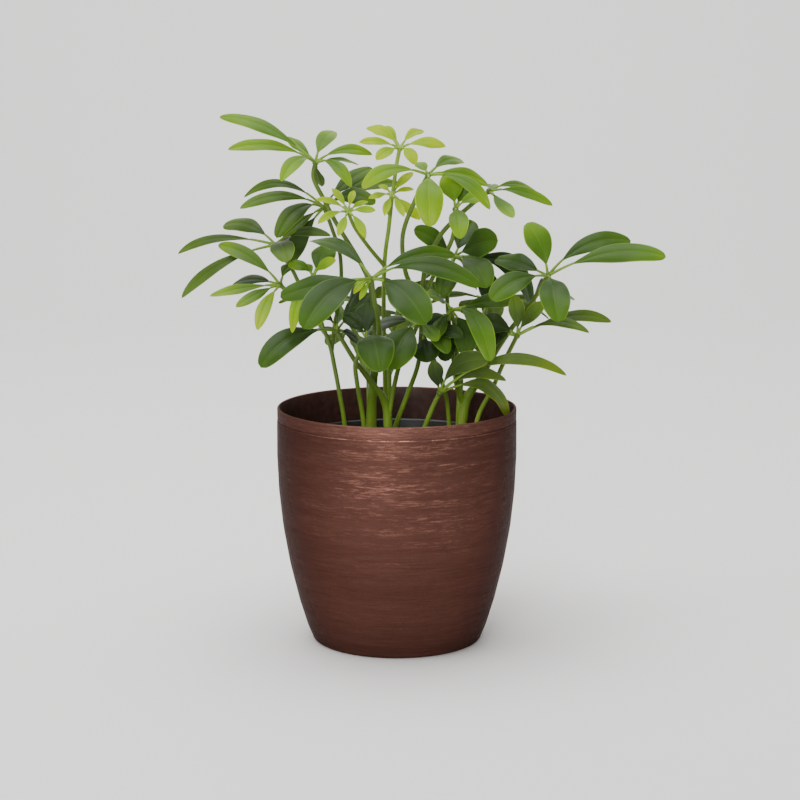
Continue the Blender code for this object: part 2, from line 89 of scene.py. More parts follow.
# Where the leaves turn their faces, at the front and behind the plant, and where behind begins
LIGHT = Vector((0.0, -0.8, 0.75))
REAR_LIGHT = Vector((0.0, 0.35, 1.0))
REAR_Y = 40.0


def seen(right, up, toward):
    """The point that the front view shows at (right, up), at a depth in front of the pot's axis."""
    on_plane = Vector((right, 0.0, up))
    share = (-EYE.y - toward) / -EYE.y
    return EYE + (on_plane - EYE) * share


class Shader:
    """A material's node tree, with short calls to add nodes and link them."""

    def __init__(self, name):
        self.material = bpy.data.materials.new(name)
        self.material.use_nodes = True
        self.tree = self.material.node_tree
        self.body = self.tree.nodes["Principled BSDF"]
        self.output = self.tree.nodes["Material Output"]

    def link(self, value, socket):
        """Join an output to a socket, or set the socket to a plain value."""
        if isinstance(value, bpy.types.NodeSocket):
            self.tree.links.new(value, socket)
        else:
            socket.default_value = value

    def add(self, kind, inputs=None, output=0, **settings):
        """A node with its inputs joined or set, given by the output that is wanted."""
        node = self.tree.nodes.new(kind)
        for key, value in settings.items():
            setattr(node, key, value)
        for key, value in (inputs or {}).items():
            self.link(value, node.inputs[key])
        return node.outputs[output]

    def math(self, operation, first, second=0.0, third=0.0):
        """One step of arithmetic on up to three values."""
        return self.add("ShaderNodeMath", {0: first, 1: second, 2: third}, operation=operation)

    def span(self, value, low, high, start=0.0, end=1.0):
        """The value's way from low to high, smoothly, as a number from start to end."""
        keys = {0: value, 1: low, 2: high, 3: start, 4: end}
        return self.add("ShaderNodeMapRange", keys, interpolation_type="SMOOTHSTEP")

    def noise(self, place, scale, detail=2.0, roughness=0.5):
        """Smooth noise from 0 to 1, with as many waves to a metre as its scale."""
        keys = {"Vector": place, "Scale": scale, "Detail": detail, "Roughness": roughness}
        return self.add("ShaderNodeTexNoise", keys)

    def stretch(self, place, x, y, z):
        """The place with each axis scaled."""
        return self.add("ShaderNodeVectorMath", {0: place, 1: (x, y, z)}, operation="MULTIPLY")

    def place(self):
        """The place on the object, in metres."""
        return self.add("ShaderNodeTexCoord", output=3)

    def attribute(self, name):
        """A number that the mesh holds at each corner."""
        return self.add("ShaderNodeAttribute", output=2, attribute_name=name)

    def ramp(self, value, stops):
        """Colours along a value, as (position, (r, g, b)) stops."""
        node = self.tree.nodes.new("ShaderNodeValToRGB")
        elements = node.color_ramp.elements
        for index, (position, colour) in enumerate(stops):
            element = elements[index] if index < 2 else elements.new(position)
            element.position = position
            element.color = (*colour, 1.0)
        self.link(value, node.inputs[0])
        return node.outputs[0]

    def warmed(self, colour, tint):
        """The colour times the tint, as far as the mesh's own warmth goes."""
        keys = {0: self.attribute("warm"), 6: colour, 7: (*tint, 1.0)}
        return self.add("ShaderNodeMix", keys, output=2, data_type="RGBA", blend_type="MULTIPLY")

    def bump(self, height, distance, strength=1.0):
        """Fine relief from a height, over a distance in metres."""
        keys = {"Height": height, "Distance": distance, "Strength": strength}
        self.link(self.add("ShaderNodeBump", keys), self.body.inputs["Normal"])

    def set(self, **values):
        """Set or join the shader's own sockets, with underscores for spaces in their names."""
        for key, value in values.items():
            self.link(value, self.body.inputs[key.replace("_", " ")])


# What a warm leaf's colour is multiplied by, and the colours along a tone
WARM_TINT = (1.45, 1.0, 2.0)
LEAF_COLOURS = [
    (0.0, (0.015, 0.031, 0.006)),
    (0.3, (0.037, 0.084, 0.010)),
    (0.55, (0.093, 0.198, 0.017)),
    (0.8, (0.226, 0.400, 0.010)),
    (1.0, (0.385, 0.525, 0.008)),
]
UNDER_COLOURS = [
    (0.0, (0.040, 0.080, 0.014)),
    (0.4, (0.095, 0.165, 0.020)),
    (0.7, (0.200, 0.310, 0.018)),
    (1.0, (0.340, 0.410, 0.015)),
]
STALK_COLOURS = [
    (0.0, (0.045, 0.072, 0.010)),
    (0.45, (0.086, 0.145, 0.018)),
    (0.75, (0.175, 0.295, 0.030)),
    (1.0, (0.350, 0.490, 0.070)),
]


def leaf_material(name, colours, top, gloss):
    """A leaf's face: lighter rim, midrib and side veins over mottled green, with a soft gloss on top."""
    shader = Shader(name)
    place = shader.place()
    parts = shader.add("ShaderNodeSeparateXYZ", {0: shader.add("ShaderNodeUVMap", uv_map="leaf")}).node
    along = parts.outputs[0]
    side = shader.math("ABSOLUTE", shader.math("MULTIPLY_ADD", parts.outputs[1], 2.0, -1.0))
    tone = shader.attribute("tone")
    rim = shader.span(side, 0.90, 0.97)
    midrib = shader.span(side, 0.06, 0.015)
    ribs = shader.math("MULTIPLY_ADD", along, 9.0, shader.math("MULTIPLY", side, -2.6))
    vein_wave = shader.math("PINGPONG", ribs, 0.5)
    veins = shader.math("MULTIPLY", shader.span(vein_wave, 0.07, 0.0), shader.span(side, 1.0, 0.5))
    mottle = shader.noise(place, 140.0, 3.0, 0.55)
    patches = shader.noise(place, 38.0, 1.0)
    light = shader.math("MULTIPLY_ADD", rim, 0.24 if top else 0.08, tone)
    light = shader.math("MULTIPLY_ADD", midrib, 0.07 if top else 0.15, light)
    light = shader.math("MULTIPLY_ADD", veins, 0.004 if top else 0.02, light)
    light = shader.math("MULTIPLY_ADD", mottle, 0.08, shader.math("ADD", light, -0.04))
    light = shader.math("MULTIPLY_ADD", patches, 0.24, shader.math("ADD", light, -0.12))
    light = shader.math("ADD", light, -0.035)
    light = shader.math("MULTIPLY_ADD", shader.span(along, 0.35, 1.0), 0.20, light)
    light = shader.math("MULTIPLY_ADD", shader.span(along, 0.22, 0.0), 0.08, light)
    colour = shader.warmed(shader.ramp(light, colours), WARM_TINT)
    grain = shader.noise(place, 900.0, 2.0)
    rough = shader.math("MULTIPLY_ADD", mottle, 0.14, 0.28 if top else 0.5)
    shader.set(Base_Color=colour, Roughness=rough)
    shader.body.inputs["Specular IOR Level"].default_value = gloss
    shader.body.inputs["Sheen Weight"].default_value = 0.10 if top else 0.0
    shader.body.inputs["Sheen Roughness"].default_value = 0.4
    relief = shader.math("MULTIPLY_ADD", veins, -0.06 if top else 0.3, shader.math("MULTIPLY", grain, 0.12))
    relief = shader.math("MULTIPLY_ADD", midrib, -0.4 if top else 0.8, relief)
    relief = shader.math("MULTIPLY_ADD", mottle, 0.5, relief)
    shader.bump(relief, 0.0002, 0.6)
    glow = shader.add("ShaderNodeBsdfTranslucent", {"Color": colour})
    mix = shader.add("ShaderNodeMixShader", {0: 0.25, 1: shader.body.outputs[0], 2: glow})
    shader.link(mix, shader.output.inputs[0])
    return shader.material


def stalk_material():
    """Smooth green stalks: lighter and yellower on young growth, with faint lengthwise streaks."""
    shader = Shader("stalk")
    place = shader.place()
    tone = shader.attribute("tone")
    streaks = shader.noise(shader.stretch(place, 1.0, 1.0, 0.06), 1600.0, 2.0)
    patches = shader.noise(place, 90.0, 2.0)
    light = shader.math("MULTIPLY_ADD", streaks, 0.16, shader.math("ADD", tone, -0.08))
    light = shader.math("MULTIPLY_ADD", patches, 0.3, shader.math("ADD", light, -0.15))
    specks = shader.span(shader.noise(place, 1100.0, 1.0), 0.66, 0.74)
    light = shader.math("MULTIPLY_ADD", specks, 0.15, light)
    shader.set(Base_Color=shader.ramp(light, STALK_COLOURS), Roughness=0.42)
    shader.body.inputs["Specular IOR Level"].default_value = 0.2
    shader.bump(shader.math("ADD", streaks, specks), 0.0001, 0.6)
    return shader.material


def copper_material():
    """Copper-brown metallic paint, brushed round: its bright strokes are painted glints, gathered on the
    upper front and, weaker, on the back.
    """
    shader = Shader("copper_metal")
    place = shader.place()
    x, y, height = shader.add("ShaderNodeSeparateXYZ", {0: place}).node.outputs
    drift = shader.math("MULTIPLY_ADD", shader.noise(place, 18.0, 1.0), 0.00015, height)
    rows = []
    row_sizes = ((0.00042, 0.0055), (0.00075, 0.0140))
    for pitch, length in row_sizes:
        row = shader.math("MULTIPLY", shader.math("FLOOR", shader.math("DIVIDE", drift, pitch)), 3.7)
        run = shader.math("DIVIDE", x, length)
        depth = shader.math("DIVIDE", y, length)
        where = shader.add("ShaderNodeCombineXYZ", {0: run, 1: depth, 2: row})
        rows.append(shader.noise(where, 1.0, 2.0, 0.6))
    fine, long = rows
    brush = shader.noise(shader.stretch(place, 60.0, 60.0, 1500.0), 1.0, 3.0, 0.65)
    grain = shader.noise(place, 2200.0, 2.0)
    bands = shader.noise(shader.stretch(place, 14.0, 14.0, 230.0), 1.0, 2.0, 0.5)
    patches = shader.noise(shader.stretch(place, 20.0, 20.0, 210.0), 1.0, 3.0, 0.6)
    # Where the painted glints and painted sheen go: the front most, the back weaker, the sides plain
    aside = shader.math("ABSOLUTE", shader.math("ADD", x, -0.003))
    facing = shader.math("MULTIPLY", shader.span(y, 0.0, -0.045), shader.span(aside, 0.064, 0.016))
    facing = shader.math("MAXIMUM", facing, shader.span(y, 0.004, 0.030, 0.0, 0.62))
    upper = shader.span(height, 0.028, 0.094, 0.14, 1.0)
    front = shader.math("MULTIPLY", facing, upper)
    patchy = shader.span(patches, 0.34, 0.62, 0.2, 1.0)
    banded = shader.span(bands, 0.3, 0.6, 0.45, 1.0)
    # Brushed strokes show here as painted glints, strongest on the upper front
    front_glint_patches = shader.math("MULTIPLY", patchy, banded)
    front_glint_patches = shader.math("MULTIPLY", front_glint_patches, shader.math("MULTIPLY_ADD", front, 0.95, 0.08))
    dashes = shader.span(fine, 0.46, 0.68)
    broken = shader.math("MULTIPLY_ADD", dashes, 0.7, 0.3)
    strokes = shader.math("MULTIPLY", shader.span(long, 0.44, 0.66), broken)
    strokes = shader.math("MAXIMUM", strokes, shader.math("MULTIPLY", dashes, 0.55))
    on_lip = shader.span(height, LIP_BOTTOM * MM, (LIP_BOTTOM + 0.4) * MM)
    # On the lip the painted glints also gather at the front
    stroke_glint_mask = shader.math("MULTIPLY_ADD", on_lip, shader.math("MULTIPLY_ADD", facing, 0.22, 0.05), front_glint_patches)
    lines = shader.math("MULTIPLY", strokes, stroke_glint_mask)
    # The groove's pale line is a painted highlight, broken by nicks and brighter at the front
    groove = shader.math("ABSOLUTE", shader.math("SUBTRACT", height, (LIP_BOTTOM - 0.25) * MM))
    chips = shader.span(shader.noise(shader.stretch(place, 190.0, 190.0, 60.0), 1.0, 3.0, 0.65), 0.44, 0.62)
    nicked_highlight = shader.math("MULTIPLY_ADD", shader.math("MULTIPLY", chips, facing), 0.80, 0.45)
    edge = shader.math("MULTIPLY", shader.span(groove, 0.00042, 0.0001), nicked_highlight)
    rim = shader.span(height, (POT_HEIGHT - 0.8) * MM, (POT_HEIGHT - 0.1) * MM, 0.0, 0.4)
    light = shader.math("MAXIMUM", lines, shader.math("MAXIMUM", edge, rim))
    ground = shader.math("MULTIPLY_ADD", bands, 0.15, -0.065)
    ground = shader.math("MULTIPLY_ADD", shader.math("SUBTRACT", brush, 0.5), 0.22, ground)
    ground = shader.math("MULTIPLY_ADD", shader.math("SUBTRACT", grain, 0.5), 0.20, ground)
    # A painted satin highlight lightens the ground on the upper front and, weaker, on the back
    ground = shader.math("MULTIPLY_ADD", facing, 0.10, ground)
    ground = shader.math("MULTIPLY_ADD", front, 0.10, ground)
    ground = shader.math("MULTIPLY_ADD", on_lip, 0.11, ground)
    light = shader.math("MULTIPLY_ADD", light, 0.45, ground)
    colour = shader.ramp(light, [
        (0.0, (0.052, 0.019, 0.014)),
        (0.25, (0.100, 0.043, 0.033)),
        (0.55, (0.240, 0.110, 0.083)),
        (1.0, (0.740, 0.440, 0.340)),
    ])
    rough = shader.math("MULTIPLY_ADD", brush, -0.20, 0.59)
    shader.set(Base_Color=colour, Roughness=rough, Metallic=0.62)
    shader.body.inputs["Specular IOR Level"].default_value = 0.2
    shader.body.inputs["Specular Tint"].default_value = (0.20, 0.12, 0.10, 1.0)
    shader.bump(shader.math("MULTIPLY_ADD", brush, 1.0, fine), 0.0001, 0.5)
    return shader.material


def inside_material():
    """The cover pot's inside: plain dark brown paint, a little glossy."""
    shader = Shader("copper_inside")
    speckle = shader.noise(shader.place(), 260.0, 3.0)
    shader.set(Base_Color=shader.ramp(speckle, [(0.3, (0.050, 0.020, 0.017)), (0.7, (0.084, 0.036, 0.030))]))
    shader.set(Roughness=0.38, Metallic=0.2)
    shader.bump(speckle, 0.0001, 0.5)
    return shader.material


def plastic_material():
    """Black moulded plastic with a dusty, faintly scuffed surface."""
    shader = Shader("grow_pot_plastic")
    place = shader.place()
    dust = shader.noise(place, 120.0, 4.0, 0.6)
    scuffs = shader.noise(shader.stretch(place, 60.0, 60.0, 900.0), 1.0, 3.0)
    shade = shader.math("MULTIPLY_ADD", dust, 0.5, shader.math("MULTIPLY", scuffs, 0.4))
    shader.set(Base_Color=shader.ramp(shade, [(0.2, (0.010, 0.011, 0.010)), (0.8, (0.045, 0.047, 0.042))]))
    shader.set(Roughness=shader.math("MULTIPLY_ADD", dust, 0.25, 0.28))
    shader.bump(scuffs, 0.00008, 0.5)
    return shader.material


def soil_material():
    """Dark damp peat with lighter fibres and crumbs."""
    shader = Shader("potting_soil")
    place = shader.place()
    crumbs = shader.noise(place, 480.0, 5.0, 0.7)
    fibres = shader.noise(shader.stretch(place, 260.0, 1400.0, 700.0), 1.0, 3.0)
    shade = shader.math("MULTIPLY_ADD", crumbs, 0.7, shader.math("MULTIPLY", fibres, 0.3))
    stops = [(0.25, (0.008, 0.005, 0.003)), (0.55, (0.035, 0.021, 0.012)), (0.85, (0.120, 0.080, 0.048))]
    shader.set(Base_Color=shader.ramp(shade, stops), Roughness=0.95)
    shader.bump(crumbs, 0.0012, 1.0)
    return shader.material


def new_piece(name, mesh, materials, node):
    """Put a finished mesh in the scene as a piece that stands for a node of the frame."""
    for material in materials:
        mesh.materials.append(material)
    piece = bpy.data.objects.new(name, mesh)
    bpy.context.scene.collection.objects.link(piece)
    mesh.shade_smooth()
    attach(piece, "root")
    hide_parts(node)
    return piece


def square_to(direction, chord):
    """The part of a direction that stands square to a chord, one unit long."""
    return (direction - chord * (direction.dot(chord) / chord.length_squared)).normalized()


def smooth_route(points, steps):
    """A smooth curve through the points of a stem, as more points."""
    route = []
    for index in range(len(points) - 1):
        before = points[max(index - 1, 0)]
        start = points[index]
        end = points[index + 1]
        after = points[min(index + 2, len(points) - 1)]
        for step in range(steps):
            t = step / steps
            bend = (end - before) * 0.5
            leave = (after - start) * 0.5
            route.append((2 * t**3 - 3 * t**2 + 1) * start + (t**3 - 2 * t**2 + t) * bend
                         + (3 * t**2 - 2 * t**3) * end + (t**3 - t**2) * leave)
    return route + [points[-1]]


class Growth:
    """A plant mesh as it is gathered: corners, faces, each face's material, and each corner's leaf data."""

    def __init__(self):
        self.corners = []
        self.faces = []
        self.kinds = []
        self.tones = []
        self.leaf = []
        self.warms = []
        self.warmth = 0.0
        self.count = 0

    def put(self, points, faces, kind, tone, leaf):
        """Add corners (an array of x, y, z), faces that count from 0, and a tone and leaf place for each."""
        self.corners.append(points)
        self.faces += [tuple(corner + self.count for corner in face) for face in faces]
        self.kinds += [kind] * len(faces)
        self.tones.append(tone)
        self.leaf.append(leaf)
        self.warms.append(np.full(len(points), self.warmth))
        self.count += len(points)

    def mesh(self, name):
        """One mesh of all that was gathered, in metres."""
        points = np.concatenate(self.corners) * MM
        mesh = bpy.data.meshes.new(name)
        mesh.from_pydata(points.tolist(), [], self.faces)
        mesh.polygons.foreach_set("material_index", self.kinds)
        tone = mesh.attributes.new("tone", "FLOAT", "POINT")
        tone.data.foreach_set("value", np.concatenate(self.tones).astype(np.float32))
        warm = mesh.attributes.new("warm", "FLOAT", "POINT")
        warm.data.foreach_set("value", np.concatenate(self.warms).astype(np.float32))
        places = np.concatenate(self.leaf).astype(np.float32)
        loops = np.empty(len(mesh.loops), dtype=np.int32)
        mesh.loops.foreach_get("vertex_index", loops)
        layer = mesh.uv_layers.new(name="leaf")
        layer.data.foreach_set("uv", places[loops].ravel())
        mesh.update()
        return mesh


TOP, UNDER, STALK = range(3)


def tube(growth, route, radii, tones, sides=12):
    """A round stalk along a route, closed at both ends, with a radius and a tone at each of its points."""
    normal = None
    rings = []
    for index, point in enumerate(route):
        ahead = route[min(index + 1, len(route) - 1)] - route[max(index - 1, 0)]
        ahead.normalize()
        if normal is None:
            normal = ahead.orthogonal()
        normal = (normal - ahead * normal.dot(ahead)).normalized()
        side = ahead.cross(normal)
        for turn in range(sides):
            angle = 2 * math.pi * turn / sides
            rings.append(point + (normal * math.cos(angle) + side * math.sin(angle)) * radii[index])
    count = len(route)
    faces = []
    for ring in range(count - 1):
        for turn in range(sides):
            low = ring * sides + turn
            low_next = ring * sides + (turn + 1) % sides
            faces.append((low, low_next, low_next + sides, low + sides))
    faces.append(tuple(reversed(range(sides))))
    faces.append(tuple(range((count - 1) * sides, count * sides)))
    points = np.array([tuple(point) for point in rings])
    growth.put(points, faces, STALK, np.repeat(tones, sides), np.full((len(points), 2), 0.5))


def knob(growth, centre, radius, tone):
    """A small round knob: the crown of a whorl or the swelling at a joint."""
    bm = bmesh.new()
    bmesh.ops.create_uvsphere(bm, u_segments=14, v_segments=10, radius=radius)
    points = np.array([tuple(vert.co + centre) for vert in bm.verts])
    faces = [tuple(vert.index for vert in face.verts) for face in bm.faces]
    bm.free()
    growth.put(points, faces, STALK, np.full(len(points), tone), np.full((len(points), 2), 0.5))


def blade_profile(along, width):
    """A leaflet's half width along its blade, as a share of its greatest: narrow ones end in a point."""
    swell = np.maximum(np.sin(math.pi * along**1.3), 0.0)
    return swell ** (0.95 - 0.5 * min(0.1 * width, 1.0) * along)


def unit(vectors):
    """Each vector of an array, one unit long."""
    return vectors / np.linalg.norm(vectors, axis=-1, keepdims=True)


def blade_faces():
    """A blade's top faces, and those of its underside and edge, by the corners of its two grids."""
    rows = ACROSS + 1
    shift = (ALONG + 1) * rows
    top_faces = []
    under_faces = []
    for i in range(ALONG):
        for j in range(ACROSS):
            a = i * rows + j
            top_faces.append((a, a + rows, a + rows + 1, a + 1))
            under_faces.append((a + shift, a + shift + 1, a + shift + rows + 1, a + shift + rows))
    rim = [i * rows for i in range(ALONG + 1)]
    rim += [ALONG * rows + j for j in range(1, rows)]
    rim += [i * rows + ACROSS for i in range(ALONG - 1, -1, -1)]
    rim += list(range(ACROSS - 1, 0, -1))
    for first, second in zip(rim, rim[1:] + rim[:1]):
        under_faces.append((first, first + shift, second + shift, second))
    return top_faces, under_faces


def leaflet(growth, hub, leaf, tone, luck):
    """A leaflet: a slim stalk, then a thin arched blade, folded at its midrib and gently waved."""
    tip = seen(leaf.right, leaf.up, leaf.toward)
    chord = tip - hub
    arch = square_to(Vector((0.0, 0.0, 1.0)) + 0.2 * LIGHT, chord)
    crown = hub + chord * (0.5 + leaf.skew) + arch * (2.0 * leaf.lift)
    face = square_to(LIGHT if hub.y < REAR_Y else REAR_LIGHT, chord)
    face = Matrix.Rotation(math.radians(leaf.roll), 3, chord) @ face
    start, middle, end = (np.array(point) for point in (hub, crown, tip))
    along = np.linspace(0.0, 1.0, ALONG + 1)
    t = (STALK_SHARE + (1.0 - STALK_SHARE) * along)[:, None]
    spine = start * (1 - t) ** 2 + middle * (2 * t * (1 - t)) + end * t**2
    tangent = unit((middle - start) * (1 - t) + (end - middle) * t)
    across = unit(np.cross(tangent, np.array(face)))
    out = np.cross(across, tangent)
    twist = math.radians(luck.uniform(-14.0, 14.0)) * (along[:, None] - 0.4)
    across, out = across * np.cos(twist) + out * np.sin(twist), out * np.cos(twist) - across * np.sin(twist)
    sway = luck.uniform(-0.02, 0.02) * chord.length
    spine = spine + across * (sway * np.sin(math.pi * along[:, None]))
    half = np.maximum(0.5 * leaf.width * blade_profile(along, leaf.width), 0.12)
    side = np.linspace(-1.0, 1.0, ACROSS + 1)
    side = np.sign(side) * np.abs(side) ** 0.85
    phase = luck.uniform(0.0, 2 * math.pi)
    waves = luck.uniform(1.2, 2.2)
    ripple = 0.07 * np.sin(2 * math.pi * (waves * along[:, None] + 0.18 * np.sign(side)) + phase)
    fold = BLADE_FOLD * luck.uniform(0.6, 1.5)
    cup = luck.uniform(0.10, 0.34)
    rise = fold * np.abs(side) + cup * (0.3 * np.abs(side) - side**2) + ripple * side**2
    groove = -0.16 * np.exp(-((side * half[:, None] / 0.45) ** 2))
    lifted = half[:, None] * rise + groove
    grid = spine[:, None, :] + across[:, None, :] * (half[:, None] * side)[..., None]
    grid = grid + out[:, None, :] * lifted[..., None]
    thick = BLADE_THICKNESS * (0.35 + 0.65 * (1.0 - np.abs(side) ** 3)) * np.minimum(1.0, half[:, None] / 1.0)
    rib = 0.45 * np.exp(-((side * half[:, None] / 0.4) ** 2)) * (1.0 - 0.8 * along[:, None])
    under = grid - out[:, None, :] * (thick + rib)[..., None]
    top_faces, under_faces = blade_faces()
    places = np.stack(np.broadcast_arrays(along[:, None], 0.5 + 0.5 * side[None, :]), axis=-1).reshape(-1, 2)
    points = np.concatenate([grid.reshape(-1, 3), under.reshape(-1, 3)])
    shade = tone + luck.uniform(-0.07, 0.07)
    both = np.concatenate([places, places])
    count = len(points)
    growth.put(points, top_faces, TOP, np.full(count, shade), both)
    growth.faces += [tuple(corner + growth.count - count for corner in face) for face in under_faces]
    growth.kinds += [UNDER] * len(under_faces)
    stalk = [Vector(tuple(start * (1 - s) ** 2 + middle * (2 * s * (1 - s)) + end * s**2))
             for s in np.linspace(0.0, STALK_SHARE + 0.05, 7)]
    tones = np.full(7, 0.52 + 0.35 * tone)
    tube(growth, stalk, np.linspace(1.45, 1.0, 7) * STALK_RADIUS, tones, 8)


def leafy_stem(name, root, sprays, luck):
    """A stem from the soil with its leaves: each spray is a stalk and the whorl at its top."""
    growth = Growth()
    for index, spray in enumerate(sprays):
        points = [seen(*point) for point in spray["stalk"]]
        thin, stout = spray.get("radii", (1.1, root[2] if index == 0 else 1.3))
        spray_tone = spray["tone"]
        growth.warmth = spray.get("warm", 0.0)
        if index == 0:
            points.append(Vector((root[0], root[1], SOIL_TOP + 4.0)))
        route = smooth_route(points, 7)
        if index == 0:
            route += [Vector((root[0], root[1], SOIL_TOP + step)) for step in (2.0, -2.0, -STEM_DEPTH)]
        share = np.linspace(0.0, 1.0, len(route))
        radii = thin + (stout - thin) * share**2
        heights = np.array([point.z for point in route])
        if stout > TRUNK_RADIUS:
            for level in TRUNK_RINGS:
                radii = radii * (1.0 + 0.10 * np.exp(-((heights - level) / 1.3) ** 2))
        lime = np.maximum(spray_tone - LIME_TONE, 0.0)
        stalk_tone = 0.18 + 0.45 * spray_tone + 1.4 * lime * (1.0 - share)
        # Towards the soil the stalks are painted lighter: partly their own fresh green, partly painted light
        # against the shade inside the pot
        brightened = np.clip((BRIGHTENED_BELOW - heights) / BRIGHTENED_SPAN, 0.0, 1.0)
        tones = stalk_tone + (np.maximum(stalk_tone, BRIGHTENED_TONE) - stalk_tone) * brightened
        tube(growth, route, radii, tones)
        if index and root[2] > TRUNK_RADIUS:
            knob(growth, points[-1], stout + 0.3, tones[-1])
        hub = points[0]
        knob(growth, hub, HUB_RADIUS, stalk_tone[0])
        for leaf in spray["leaflets"]:
            leaflet(growth, hub, leaf, spray_tone if leaf.tone is None else leaf.tone, luck)
    return growth.mesh(name)


# A leaflet: its tip as (right, up, toward), its width, how far it arches up, its roll in degrees, how far
# its arch leans to the tip as a share of its length, and its tone where that differs from its spray's.
# Low tones on leaves hidden deep inside the plant are painted shade.
Leaf = namedtuple("Leaf", "right up toward width lift roll skew tone", defaults=(0.0, 0.0, None))

